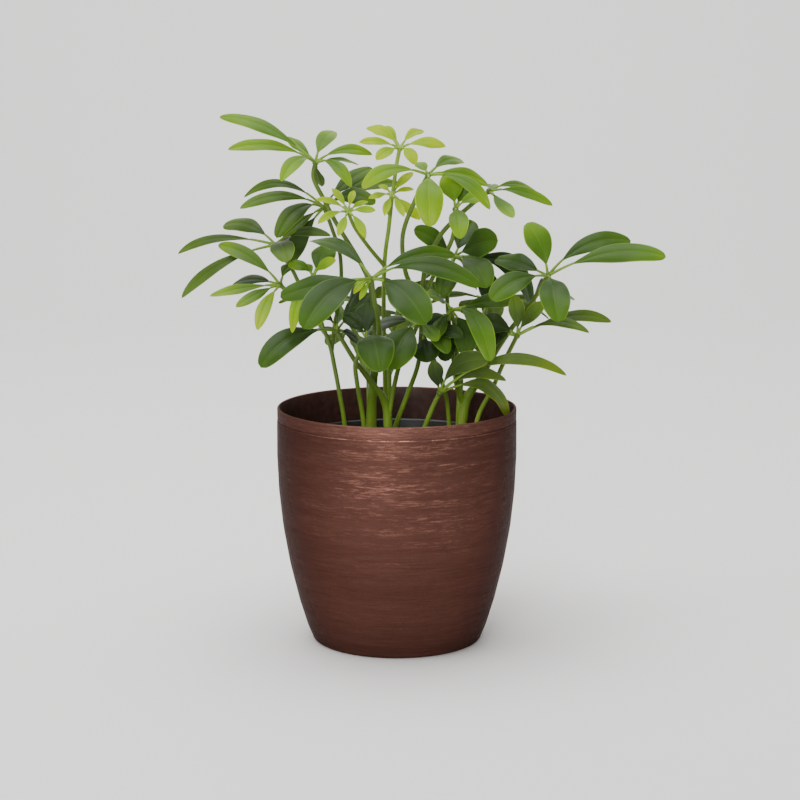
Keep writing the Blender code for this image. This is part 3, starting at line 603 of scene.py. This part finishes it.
# Each leafy stem: its material slot, its root in the soil as (x, y, radius) and its sprays. A spray's stalk
# runs from its hub down, as points (right, up, toward), with its radii at the hub and at its foot. Warm
# says how olive its leaves are.
PLANT = {
    "stem_left": ("leaf_green", (-13.0, 2.0, 3.2), [
        {"stalk": [(-12.5, 183, 55), (-11, 172, 48), (-9, 160, 34), (-9, 148, 15), (-11, 138, 4),
                   (-12.5, 122, 0)],
         "tone": 0.29,
         "leaflets": [Leaf(14.5, 160.5, 82, 18, 6), Leaf(-46.5, 158, 88, 17, 7, tone=0.22),
                      Leaf(-58, 174, 52, 13, 2.5), Leaf(-43, 202, 30, 12, 6, roll=20),
                      Leaf(41, 179, 66, 11, 9.5), Leaf(29, 195, 40, 9, 6, tone=0.38),
                      Leaf(-21.5, 175.5, 60, 3.5, 1.5, tone=0.78), Leaf(-18.5, 172.5, 62, 3, 1, tone=0.78),
                      Leaf(-24.5, 179.5, 57, 3, 1, tone=0.7), Leaf(-24, 169, 40, 12, 2, tone=0.15)]},
        {"stalk": [(-40, 240.5, 8), (-41, 233, 8), (-36, 222.5, 9), (-29.5, 210, 11), (-18, 191, 14),
                   (-13, 178, 16), (-11, 158, 12), (-10.2, 142, 8)],
         "tone": 0.585,
         "leaflets": [Leaf(-87, 263, -8, 8, 5.5, skew=0.05), Leaf(-83, 247, 22, 7.5, 5.5),
                      Leaf(-54, 253.5, -22, 6, 1), Leaf(-30.5, 256, -16, 9, 4.5, skew=-0.14),
                      Leaf(-12, 244.5, 2, 6.5, 4.5), Leaf(-18.5, 239.5, -18, 4, 2),
                      Leaf(-22.5, 228.5, 26, 6.5, 6), Leaf(-57, 231.5, 34, 8, 6.5),
                      Leaf(-37, 229, -14, 6, 0, tone=0.34)]},
    ]),
    "stem_middle": ("leaf_green", (-4.0, -9.0, 3.0), [
        {"stalk": [(-30, 157, 22), (-21, 142, 20), (-12, 130, 14), (-5.5, 119, 9)],
         "tone": 0.26,
         "leaflets": [Leaf(-68, 138.5, 52, 13, 7.5, skew=0.08), Leaf(-28, 172, 38, 8.5, 1, tone=0.42),
                      Leaf(-13, 176, -2, 12, 1, tone=0.2), Leaf(-44, 166, 36, 9, 4),
                      Leaf(-18, 150, 8, 9, 2, tone=0.2)]},
        {"stalk": [(11, 161.5, 26), (6, 150, 20), (1.4, 140, 13), (-1.5, 128, 9.5), (-4, 114, 9)],
         "tone": 0.31,
         "leaflets": [Leaf(-3, 137.3, 48, 18, 4), Leaf(20.5, 152, 36, 7.5, 1, tone=0.4),
                      Leaf(-3, 176, 14, 12, 3, tone=0.2), Leaf(-16, 156, -10, 13, 3, tone=0.15)]},
    ]),
    "stem_right": ("leaf_green", (31.0, 4.0, 3.2), [
        {"stalk": [(75, 184.5, 30), (67, 171, 18), (57, 158, 8), (49, 146, 2), (40.5, 131, -3),
                   (34.5, 121, -4)],
         "tone": 0.36,
         "leaflets": [Leaf(64.5, 211, 22, 13, 3, tone=0.54), Leaf(116, 202, 12, 11, 7.5),
                      Leaf(133.5, 194, 34, 12, 6.5, skew=0.08), Leaf(80.5, 161.5, 62, 15, 6, tone=0.27),
                      Leaf(47, 172.5, 46, 13, 4, tone=0.41), Leaf(49, 193, 8, 12, 1.5, tone=0.25),
                      Leaf(67, 170.5, 10, 11, 2, tone=0.2), Leaf(88.5, 173, -4, 6, -1.5)]},
        {"stalk": [(27, 167.5, 16), (29, 158, 10), (30, 148, 4), (30, 137, 0), (31, 128, -2),
                   (33.5, 119.5, -4)],
         "tone": 0.42,
         "leaflets": [Leaf(46.8, 141.5, 48, 11, 10.5, tone=0.41), Leaf(62, 173, 12, 10, 1),
                      Leaf(16, 174.5, 36, 9, 2.5, tone=0.46), Leaf(44, 157, 6, 11, 3),
                      Leaf(24, 141.5, 8, 11, 1, tone=0.12), Leaf(34, 145, 12, 13, 3, tone=0.25),
                      Leaf(18.6, 152, 30, 7, 2)]},
        {"stalk": [(28.5, 194, -4), (25, 181, -10), (26, 161, -17), (28.5, 141, -13), (30, 129, -7),
                   (33, 120.5, -4.5)],
         "tone": 0.30,
         "leaflets": [Leaf(8.5, 207.5, 2, 12, 2), Leaf(38, 212, -20, 12, 1, tone=0.18),
                      Leaf(50, 202, 16, 15, 1.5, roll=25),
                      Leaf(44.5, 178.5, 32, 14, 6, skew=0.15, tone=0.42), Leaf(12, 182, -24, 12, 3),
                      Leaf(40, 178, -22, 13, 3, tone=0.12), Leaf(49, 169, -12, 13, 5, tone=0.1),
                      Leaf(22.5, 174.5, 16, 11, 2, tone=0.38),
                      Leaf(66.5, 171, -24, 16, 10, skew=0.12, tone=0.14)]},
    ]),
    "lime_shoot": ("leaf_lime", (-5.4, 20.0, 1.3), [
        {"stalk": [(1.5, 247.5, 4), (0, 240, 5), (-1.5, 229, 6), (-2.5, 222, 6), (-4, 208, 3),
                   (-6, 192, -4), (-6.5, 165, -16), (-5.9, 135, -20)],
         "radii": (1.0, 1.3), "tone": 0.92,
         "leaflets": [Leaf(-15, 257.5, -4, 6.5, 3), Leaf(-6, 258.5, -16, 4.5, 2),
                      Leaf(-18.5, 250.5, 6, 5, 2), Leaf(-10, 242, 18, 6.5, 2), Leaf(9, 239.5, 16, 6.5, 3),
                      Leaf(24, 248.5, 4, 6.5, 3), Leaf(13.5, 256, -14, 5.5, 3)]},
        {"stalk": [(-2.5, 225, 8), (-3.5, 215, 5)],
         "radii": (1.0, 1.3), "tone": 0.95,
         "leaflets": [Leaf(-14, 223, 10, 4, 1), Leaf(-9, 229.5, -2, 3.5, 1), Leaf(-6, 214.5, 20, 4, 1),
                      Leaf(3.5, 214, 22, 4, 1), Leaf(11.5, 212.5, 16, 6, 1), Leaf(8.5, 227.5, -2, 3.5, 1),
                      Leaf(8, 236, -10, 5, 1)]},
        {"stalk": [(-24, 216.5, 22), (-21, 209, 16), (-14, 199, 8), (-6.5, 190, -4)],
         "radii": (0.9, 1.1), "tone": 0.86,
         "leaflets": [Leaf(-40, 222.5, 20, 3.8, 2), Leaf(-32, 228, 10, 3.8, 1), Leaf(-21, 227, 8, 3.6, 1),
                      Leaf(-14, 221.5, 12, 3.4, 1), Leaf(-10.5, 217, 22, 4.6, 1),
                      Leaf(-15.5, 203, 36, 4.4, 2), Leaf(-29, 204.5, 38, 4.6, 1),
                      Leaf(-39, 210.5, 32, 4.2, 2)]},
    ]),
    "stem_far_left": ("leaf_green", (-24.5, -14.0, 1.1), [
        {"stalk": [(-58, 180, 12), (-47, 170, 14), (-38, 160, 15), (-33.5, 150, 15), (-31, 138, 15),
                   (-29, 127, 15), (-26.5, 112, 14)],
         "tone": 0.42, "warm": 0.2,
         "leaflets": [Leaf(-88.5, 200, -4, 8.5, 4.5), Leaf(-82, 180, -16, 8, 2.5, tone=0.22),
                      Leaf(-93, 174.5, 22, 6, 1.5, tone=0.52), Leaf(-80, 169, 30, 6.5, 1.5, tone=0.52),
                      Leaf(-69.5, 157.5, 42, 7, 3, tone=0.78), Leaf(-51, 189.5, -4, 6, 3.5)]},
        {"stalk": [(-60, 200, -2), (-52, 188, 2), (-44, 170, 8), (-36.2, 156, 14.5)],
         "radii": (1.0, 1.0), "tone": 0.37, "warm": 0.45,
         "leaflets": [Leaf(-108.5, 195.5, -10, 6, 6, skew=0.12), Leaf(-86, 209.5, -26, 10, 5),
                      Leaf(-107, 173.5, 6, 7, 5.5, skew=0.07), Leaf(-54.5, 191.5, 26, 12, 5),
                      Leaf(-32.7, 204.5, 6, 6, 5, tone=0.2), Leaf(-46, 200, -28, 9, 3, tone=0.15)]},
        {"stalk": [(-36, 218.5, -12), (-32, 208, -10), (-28, 194, -6), (-28, 176, 2), (-31, 160, 10),
                   (-32.5, 146, 14.8)],
         "radii": (1.0, 1.0), "tone": 0.36, "warm": 0.3,
         "leaflets": [Leaf(-75.5, 223.5, -24, 6, 9.5, skew=0.05), Leaf(-77.5, 218, 2, 7.5, 6.5),
                      Leaf(-59.5, 203.5, 18, 10, 7.5), Leaf(-56.5, 203.3, 4, 5.5, 1.5),
                      Leaf(-12, 238, -30, 9, 3.5), Leaf(3, 230, -22, 7, 4), Leaf(-10.5, 220.5, -8, 10, 5),
                      Leaf(-54, 189.5, -10, 10, 2, tone=0.25)]},
        {"stalk": [(-41.5, 184, 20), (-40, 172, 18), (-35.7, 155, 15)],
         "radii": (0.9, 0.9), "tone": 0.72,
         "leaflets": [Leaf(-30.2, 192.4, 24, 6, 2), Leaf(-54, 189.5, 22, 6.5, 3, tone=0.5),
                      Leaf(-52.2, 156, 46, 6.5, 6), Leaf(-35.3, 168.2, 38, 8, 3, tone=0.5),
                      Leaf(-46, 190.5, 10, 5, 1, tone=0.55), Leaf(-33, 200, 2, 12, 2, tone=0.45)]},
    ]),
    "leaf_front": ("leaf_green", (-15.0, -22.0, 1.2), [
        {"stalk": [(-15, 152.5, 36), (-19.5, 144, 33), (-20.8, 139, 31), (-19.5, 128, 28), (-17, 113, 24)],
         "tone": 0.28,
         "leaflets": [Leaf(-8.5, 136, 66, 18, 8, skew=-0.05), Leaf(-15, 171, 18, 11, 1, tone=0.16),
                      Leaf(-27, 165, 24, 8, 2, tone=0.22)]},
    ]),
    "leaf_right_low": ("leaf_green", (8.0, -26.0, 1.6), [
        {"stalk": [(21.5, 125.5, 30), (17, 116, 28)],
         "tone": 0.45, "warm": 0.65,
         "leaflets": [Leaf(18, 142, 34, 8, 0, tone=0.14), Leaf(46, 142, 40, 11, 6, tone=0.32),
                      Leaf(85, 134.5, 36, 7, 13.5, skew=0.1),
                      Leaf(56, 113.5, 12, 10, 11, skew=0.05, tone=0.44), Leaf(54.8, 131.9, 24, 7, 7)]},
    ]),
    "stem_upper_right": ("leaf_green", (-3.5, 9.0, 1.3), [
        {"stalk": [(29, 217.5, 34), (27.5, 203, 26), (20, 188, 14), (13, 172, 6), (12, 155, 0),
                   (10.6, 140, -3), (5, 124, -6), (-0.2, 110, -8)],
         "tone": 0.59,
         "leaflets": [Leaf(31.5, 203, 56, 9.5, 5), Leaf(25.5, 236, 26, 11.5, 1),
                      Leaf(36.5, 233.5, 18, 10, 1), Leaf(45, 223, 34, 7, 3)]},
        {"stalk": [(15.5, 234.5, 34), (9, 222, 28), (3, 205, 24), (4, 188, 14), (8, 178, 8),
                   (12.5, 169, 5)],
         "radii": (1.1, 1.3), "tone": 0.62,
         "leaflets": [Leaf(16.5, 209, 58, 13.5, 8, tone=0.67), Leaf(10.5, 241, 18, 6, 1),
                      Leaf(33, 241, 10, 8, 3.5), Leaf(45, 229.5, 22, 9, 3.5), Leaf(46, 217.5, 48, 7, 6),
                      Leaf(-17, 228, 42, 8.5, 6, skew=0.05)]},
        {"stalk": [(45.5, 226.5, 14), (37, 220, 18), (26, 210, 20), (20, 202, 18), (14, 188, 11),
                   (12.5, 171, 6)],
         "radii": (1.1, 1.3), "tone": 0.55,
         "leaflets": [Leaf(77, 219.5, 12, 6.5, 3.5, skew=-0.08), Leaf(70, 225.5, -8, 6, 4, skew=-0.08),
                      Leaf(57.5, 213.5, 34, 8, 1, roll=-15, tone=0.6), Leaf(47, 230, -12, 7, 1),
                      Leaf(54.5, 218, -22, 8, 1, tone=0.25)]},
    ]),
    "leaf_lower_right": ("leaf_green", (37.0, -8.0, 1.2), [
        {"stalk": [(60, 154.5, 26), (53, 140, 12), (48, 128, 9), (41, 114, 8)],
         "tone": 0.42, "warm": 0.5,
         "leaflets": [Leaf(96, 156, 40, 5.5, 6.5, skew=0.1), Leaf(107, 161.5, 22, 7, 5.5, skew=0.1),
                      Leaf(58, 175, 28, 8, 1), Leaf(74, 171, 34, 8, 2),
                      Leaf(40.5, 162, 24, 12, 2, tone=0.16), Leaf(41, 149, 24, 12, 3, tone=0.22)]},
    ]),
    # These middle leaves hang in the plant's shade: their dark tone is painted shade
    "leaf_dark_middle": ("leaf_dark", (26.5, -8.0, 1.1), [
        {"stalk": [(13, 155, 14), (17.5, 145, 14), (22, 133, 12), (25, 122, 10), (26.2, 110, 9)],
         "tone": 0.12,
         "leaflets": [Leaf(25.5, 145.5, 30, 9, 5, tone=0.26), Leaf(15, 141, 26, 14, 1, tone=0.06),
                      Leaf(25, 164, 0, 10, 2), Leaf(33, 154, 28, 8, 3)]},
    ]),
}


def rear_whorl(hub, count, length, width, aim):
    """Leaflets that fan out behind a hub, about an aim in degrees: their tips, widths and arches."""
    right, up, toward = hub
    leaflets = []
    for index in range(count):
        turn = math.radians(aim - 85.0 + 170.0 * index / (count - 1))
        reach = length * (0.88 + 0.12 * math.cos(2.4 * index))
        rise = 5.0 * math.cos(1.7 * index) - 6.0
        tip = (right + reach * math.sin(turn), up + rise, toward - reach * math.cos(turn))
        leaflets.append(Leaf(*tip, width, 0.14 * reach))
    return leaflets


# The stems behind: their root and, for each spray, its stalk, its leaflets' count, length and width,
# and the angle in degrees that they are aimed at, clockwise from straight back as seen from above
REAR_TONE = 0.30
REAR = {
    "stem_rear_left": ((-13.5, 24.0, 2.0), [
        ([(-30, 172, -54), (-23, 160, -46), (-16, 147, -38), (-14, 134, -31)], 6, 30, 12, -20),
        ([(-24, 156, -74), (-20, 147, -56), (-14.3, 134, -32)], 4, 22, 11, -5),
    ]),
    "stem_rear_middle": ((-4.0, 30.0, 2.0), [
        ([(4, 180, -62), (0.5, 167, -54), (-2.5, 153, -46), (-4, 134, -35)], 5, 26, 11, 0),
        ([(9, 163, -88), (3, 150, -64), (-3.8, 135, -36)], 4, 28, 12, 0),
    ]),
    "stem_rear_right": ((31.5, 20.0, 2.0), [
        ([(46, 172, -52), (40, 158, -43), (34, 146, -36), (32, 134, -26)], 6, 32, 12, 22),
        ([(33, 155, -70), (32.5, 144, -50), (31.9, 132, -25)], 4, 22, 11, 12),
    ]),
}


def turned(name, outline, sides, materials, node):
    """A solid of revolution about the pot's axis: a closed outline of (radius, height), spun."""
    points = []
    rings = []
    for radius, height in outline:
        if radius < 0.001:
            rings.append([len(points)] * sides)
            points.append((0.0, 0.0, height * MM))
            continue
        rings.append(list(range(len(points), len(points) + sides)))
        for turn in range(sides):
            angle = 2 * math.pi * turn / sides
            points.append((radius * math.cos(angle) * MM, radius * math.sin(angle) * MM, height * MM))
    faces = []
    for lower, upper in zip(rings, rings[1:]):
        for turn in range(sides):
            after = (turn + 1) % sides
            corners = [lower[turn], lower[after], upper[after], upper[turn]]
            face = tuple(dict.fromkeys(corners))
            if len(face) > 2:
                faces.append(face)
    mesh = bpy.data.meshes.new(name)
    mesh.from_pydata(points, [], faces)
    bm = bmesh.new()
    bm.from_mesh(mesh)
    bmesh.ops.recalc_face_normals(bm, faces=bm.faces)
    bm.to_mesh(mesh)
    bm.free()
    piece = new_piece(name, mesh, materials, node)
    mesh.set_sharp_from_angle(angle=math.radians(35.0))
    return piece


def arc(centre, radius, start, end, steps):
    """Points (radius, height) along a small arc, between two angles in degrees."""
    angles = [math.radians(start + (end - start) * step / steps) for step in range(steps + 1)]
    return [(centre[0] + radius * math.cos(angle), centre[1] + radius * math.sin(angle)) for angle in angles]


def side_radius(height):
    """The cover pot's outer radius at a height, along a smooth curve through its profile."""
    heights = [BASE_ROUND] + [level for level, radius in POT_PROFILE] + [LIP_BOTTOM]
    radii = [BASE_RADIUS] + [radius for level, radius in POT_PROFILE] + [LIP_RADIUS + 0.1]
    return float(np.interp(height, heights, radii))


def make_cover_pot():
    """The cover pot: a tapered shell with a rounded foot, a fine groove and a rolled lip."""
    wall_top = LIP_RADIUS - POT_WALL
    inner = [(0.0, POT_FLOOR), (BASE_RADIUS - POT_WALL - 2.0, POT_FLOOR)]
    inner += [(side_radius(height) - POT_WALL, height) for height in np.linspace(5.0, 95.0, 10)]
    inner += [(wall_top, LIP_BOTTOM)]
    lip_round = 0.5 * POT_WALL
    rim = arc((wall_top + lip_round, POT_HEIGHT - lip_round), lip_round, 180.0, 0.0, 8)
    groove_centre = (LIP_RADIUS + 0.15, LIP_BOTTOM + 0.5 * GROOVE_HEIGHT)
    groove = arc(groove_centre, 0.5 * GROOVE_HEIGHT + 0.1, 110.0, 250.0, 6)
    side = [(side_radius(height), height) for height in np.linspace(LIP_BOTTOM - 0.6, BASE_ROUND + 1.5, 26)]
    foot = arc((BASE_RADIUS - FOOT_ROUND, FOOT_ROUND), FOOT_ROUND, 0.0, -90.0, 6)
    outline = inner + rim + groove + side + foot + [(0.0, 0.0)]
    finishes = [copper_material(), inside_material()]
    piece = turned("copper_cover_pot", outline, POT_SIDES, finishes, "cover_pot")
    for face in piece.data.polygons:
        outward = face.normal.x * face.center.x + face.normal.y * face.center.y
        if face.center.z < (POT_HEIGHT - 0.8) * MM and (outward < 0.0 or face.normal.z > 0.9):
            face.material_index = 1
    return piece


def make_grow_pot():
    """The nursery pot with its thick rolled rim."""
    floor = POT_FLOOR + 0.3
    outer = GROW_RIM_RADIUS - GROW_RIM_BEAD
    inner = [(0.0, floor + GROW_WALL), (GROW_BASE_RADIUS - GROW_WALL, floor + GROW_WALL)]
    bead = arc((GROW_RIM_RADIUS - 1.0, GROW_RIM_Z - 1.0), 1.0, 90.0, 0.0, 5)
    rim = [(outer - GROW_WALL, GROW_RIM_Z - 0.5), (outer - GROW_WALL + 0.5, GROW_RIM_Z)]
    skirt = [(GROW_RIM_RADIUS, GROW_RIM_Z - 6.0), (GROW_RIM_RADIUS - 0.4, GROW_RIM_Z - 6.4)]
    skirt += [(outer, GROW_RIM_Z - 6.6)]
    foot = [(GROW_BASE_RADIUS + 0.8, floor + 2.0), (GROW_BASE_RADIUS, floor), (0.0, floor)]
    outline = inner + rim + bead + skirt + foot
    return turned("nursery_pot", outline, GROW_SIDES, [plastic_material()], "grow_pot")


def make_soil():
    """The potting soil: a crumbly top that dips to its edge, over plain tapered sides."""
    bottom = POT_FLOOR + 0.3 + GROW_WALL + 0.3
    sides = SOIL_SIDES
    points = []
    for ring in range(SOIL_RINGS + 1):
        share = ring / SOIL_RINGS
        for turn in range(sides if ring else 1):
            angle = 2 * math.pi * turn / sides
            reach = SOIL_RADIUS * share
            place = Vector((reach * math.cos(angle), reach * math.sin(angle), 0.0))
            lump = noise.noise(place * 0.11) * 1.4 + noise.noise(place * 0.42) * 0.8
            lump += noise.noise(place * 1.3) * 0.5
            drop = 1.5 * (1.0 - share**2)
            height = SOIL_TOP + drop + (lump - 0.8) * min(1.0, (1.0 - share) * 8.0 + 0.2)
            points.append((place.x * MM, place.y * MM, height * MM))
    faces = [(0, 1 + turn, 1 + (turn + 1) % sides) for turn in range(sides)]
    for ring in range(1, SOIL_RINGS):
        low = 1 + (ring - 1) * sides
        for turn in range(sides):
            after = (turn + 1) % sides
            faces.append((low + turn, low + sides + turn, low + sides + after, low + after))
    edge = 1 + (SOIL_RINGS - 1) * sides
    foot = len(points)
    for turn in range(sides):
        angle = 2 * math.pi * turn / sides
        reach = SOIL_FOOT_RADIUS
        points.append((reach * math.cos(angle) * MM, reach * math.sin(angle) * MM, bottom * MM))
    for turn in range(sides):
        after = (turn + 1) % sides
        faces.append((edge + turn, foot + turn, foot + after, edge + after))
    faces.append(tuple(reversed(range(foot, foot + sides))))
    mesh = bpy.data.meshes.new("soil")
    mesh.from_pydata(points, [], faces)
    return new_piece("peat_soil", mesh, [soil_material()], "soil")


def make_camera():
    """The camera, where the photograph was taken from."""
    data = bpy.data.cameras.new("camera")
    data.lens = CAMERA_LENS
    data.sensor_width = 36.0
    data.clip_start = 0.01
    camera = bpy.data.objects.new("camera", data)
    camera.location = CAMERA_PLACE
    camera.rotation_euler = (math.radians(CAMERA_PITCH), 0.0, 0.0)
    bpy.context.scene.collection.objects.link(camera)
    bpy.context.scene.camera = camera


def make_light(name, place, aim, size, power, colour=(1.0, 1.0, 1.0)):
    """A soft square light at a place, facing a point, in metres and watts."""
    data = bpy.data.lights.new(name, "AREA")
    data.size = size
    data.energy = power
    data.color = colour
    light = bpy.data.objects.new(name, data)
    light.location = place
    light.rotation_euler = (Vector(aim) - Vector(place)).to_track_quat("-Z", "Y").to_euler()
    bpy.context.scene.collection.objects.link(light)


def make_stage():
    """A plain pale floor that sweeps up behind, and soft studio light."""
    mesh = bpy.data.meshes.new("sweep")
    bend = 0.6
    profile = [(-3.0, 0.0), (1.2, 0.0)]
    for turn in np.linspace(0.1, math.pi / 2, 14):
        profile.append((1.2 + bend * math.sin(turn), bend - bend * math.cos(turn)))
    profile.append((1.2 + bend, 3.5))
    points = [(x, y, z) for y, z in profile for x in (-4.0, 4.0)]
    faces = [(2 * i, 2 * i + 1, 2 * i + 3, 2 * i + 2) for i in range(len(profile) - 1)]
    mesh.from_pydata(points, [], faces)
    mesh.shade_smooth()
    shader = Shader("paper")
    shader.set(Base_Color=(0.93, 0.925, 0.91, 1.0), Roughness=0.9)
    mesh.materials.append(shader.material)
    sweep = bpy.data.objects.new("sweep", mesh)
    bpy.context.scene.collection.objects.link(sweep)
    world = bpy.data.worlds.new("studio")
    world.use_nodes = True
    world.node_tree.nodes["Background"].inputs[0].default_value = (1.0, 0.99, 0.97, 1.0)
    world.node_tree.nodes["Background"].inputs[1].default_value = 0.32
    bpy.context.scene.world = world
    centre = (0.0, 0.0, 0.15)
    make_light("overhead", (-0.2, -0.25, 1.5), centre, 1.0, 17.0)
    make_light("front", (-0.35, -1.7, 0.5), centre, 0.6, 17.0)
    make_light("side", (-1.3, -0.7, 0.9), centre, 0.8, 4.0)
    make_light("backdrop", (0.0, 0.6, 1.9), (0.0, 1.8, 0.4), 1.6, 30.0)


def make_plant():
    """Every leafy stem, each as one piece that stands for its node."""
    tops = {
        "leaf_green": leaf_material("leaf_green", LEAF_COLOURS, True, 0.13),
        "leaf_dark": leaf_material("leaf_dark", LEAF_COLOURS, True, 0.15),
        "leaf_lime": leaf_material("leaf_lime", LEAF_COLOURS, True, 0.05),
    }
    under = leaf_material("leaf_underside", UNDER_COLOURS, False, 0.1)
    stalk = stalk_material()
    stems = dict(PLANT)
    for name, (root, sprays) in REAR.items():
        fans = []
        for places, *fan in sprays:
            fans.append({"stalk": places, "tone": REAR_TONE, "leaflets": rear_whorl(places[0], *fan)})
        stems[name] = ("leaf_green", root, fans)
    for index, (name, (slot, root, sprays)) in enumerate(stems.items()):
        luck = random.Random(index + 11)
        mesh = leafy_stem(name + "_foliage", root, sprays, luck)
        new_piece(name + "_foliage", mesh, [tops[slot], under, stalk], name)
        mesh.set_sharp_from_angle(angle=math.radians(50.0))


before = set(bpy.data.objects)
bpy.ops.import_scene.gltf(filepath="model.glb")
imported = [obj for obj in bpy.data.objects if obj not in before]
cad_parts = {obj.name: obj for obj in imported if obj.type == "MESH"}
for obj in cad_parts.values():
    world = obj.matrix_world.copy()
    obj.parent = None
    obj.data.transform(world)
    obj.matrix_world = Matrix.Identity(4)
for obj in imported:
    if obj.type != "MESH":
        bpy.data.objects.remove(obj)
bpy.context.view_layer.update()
make_camera()
make_stage()
make_cover_pot()
make_grow_pot()
make_soil()
make_plant()
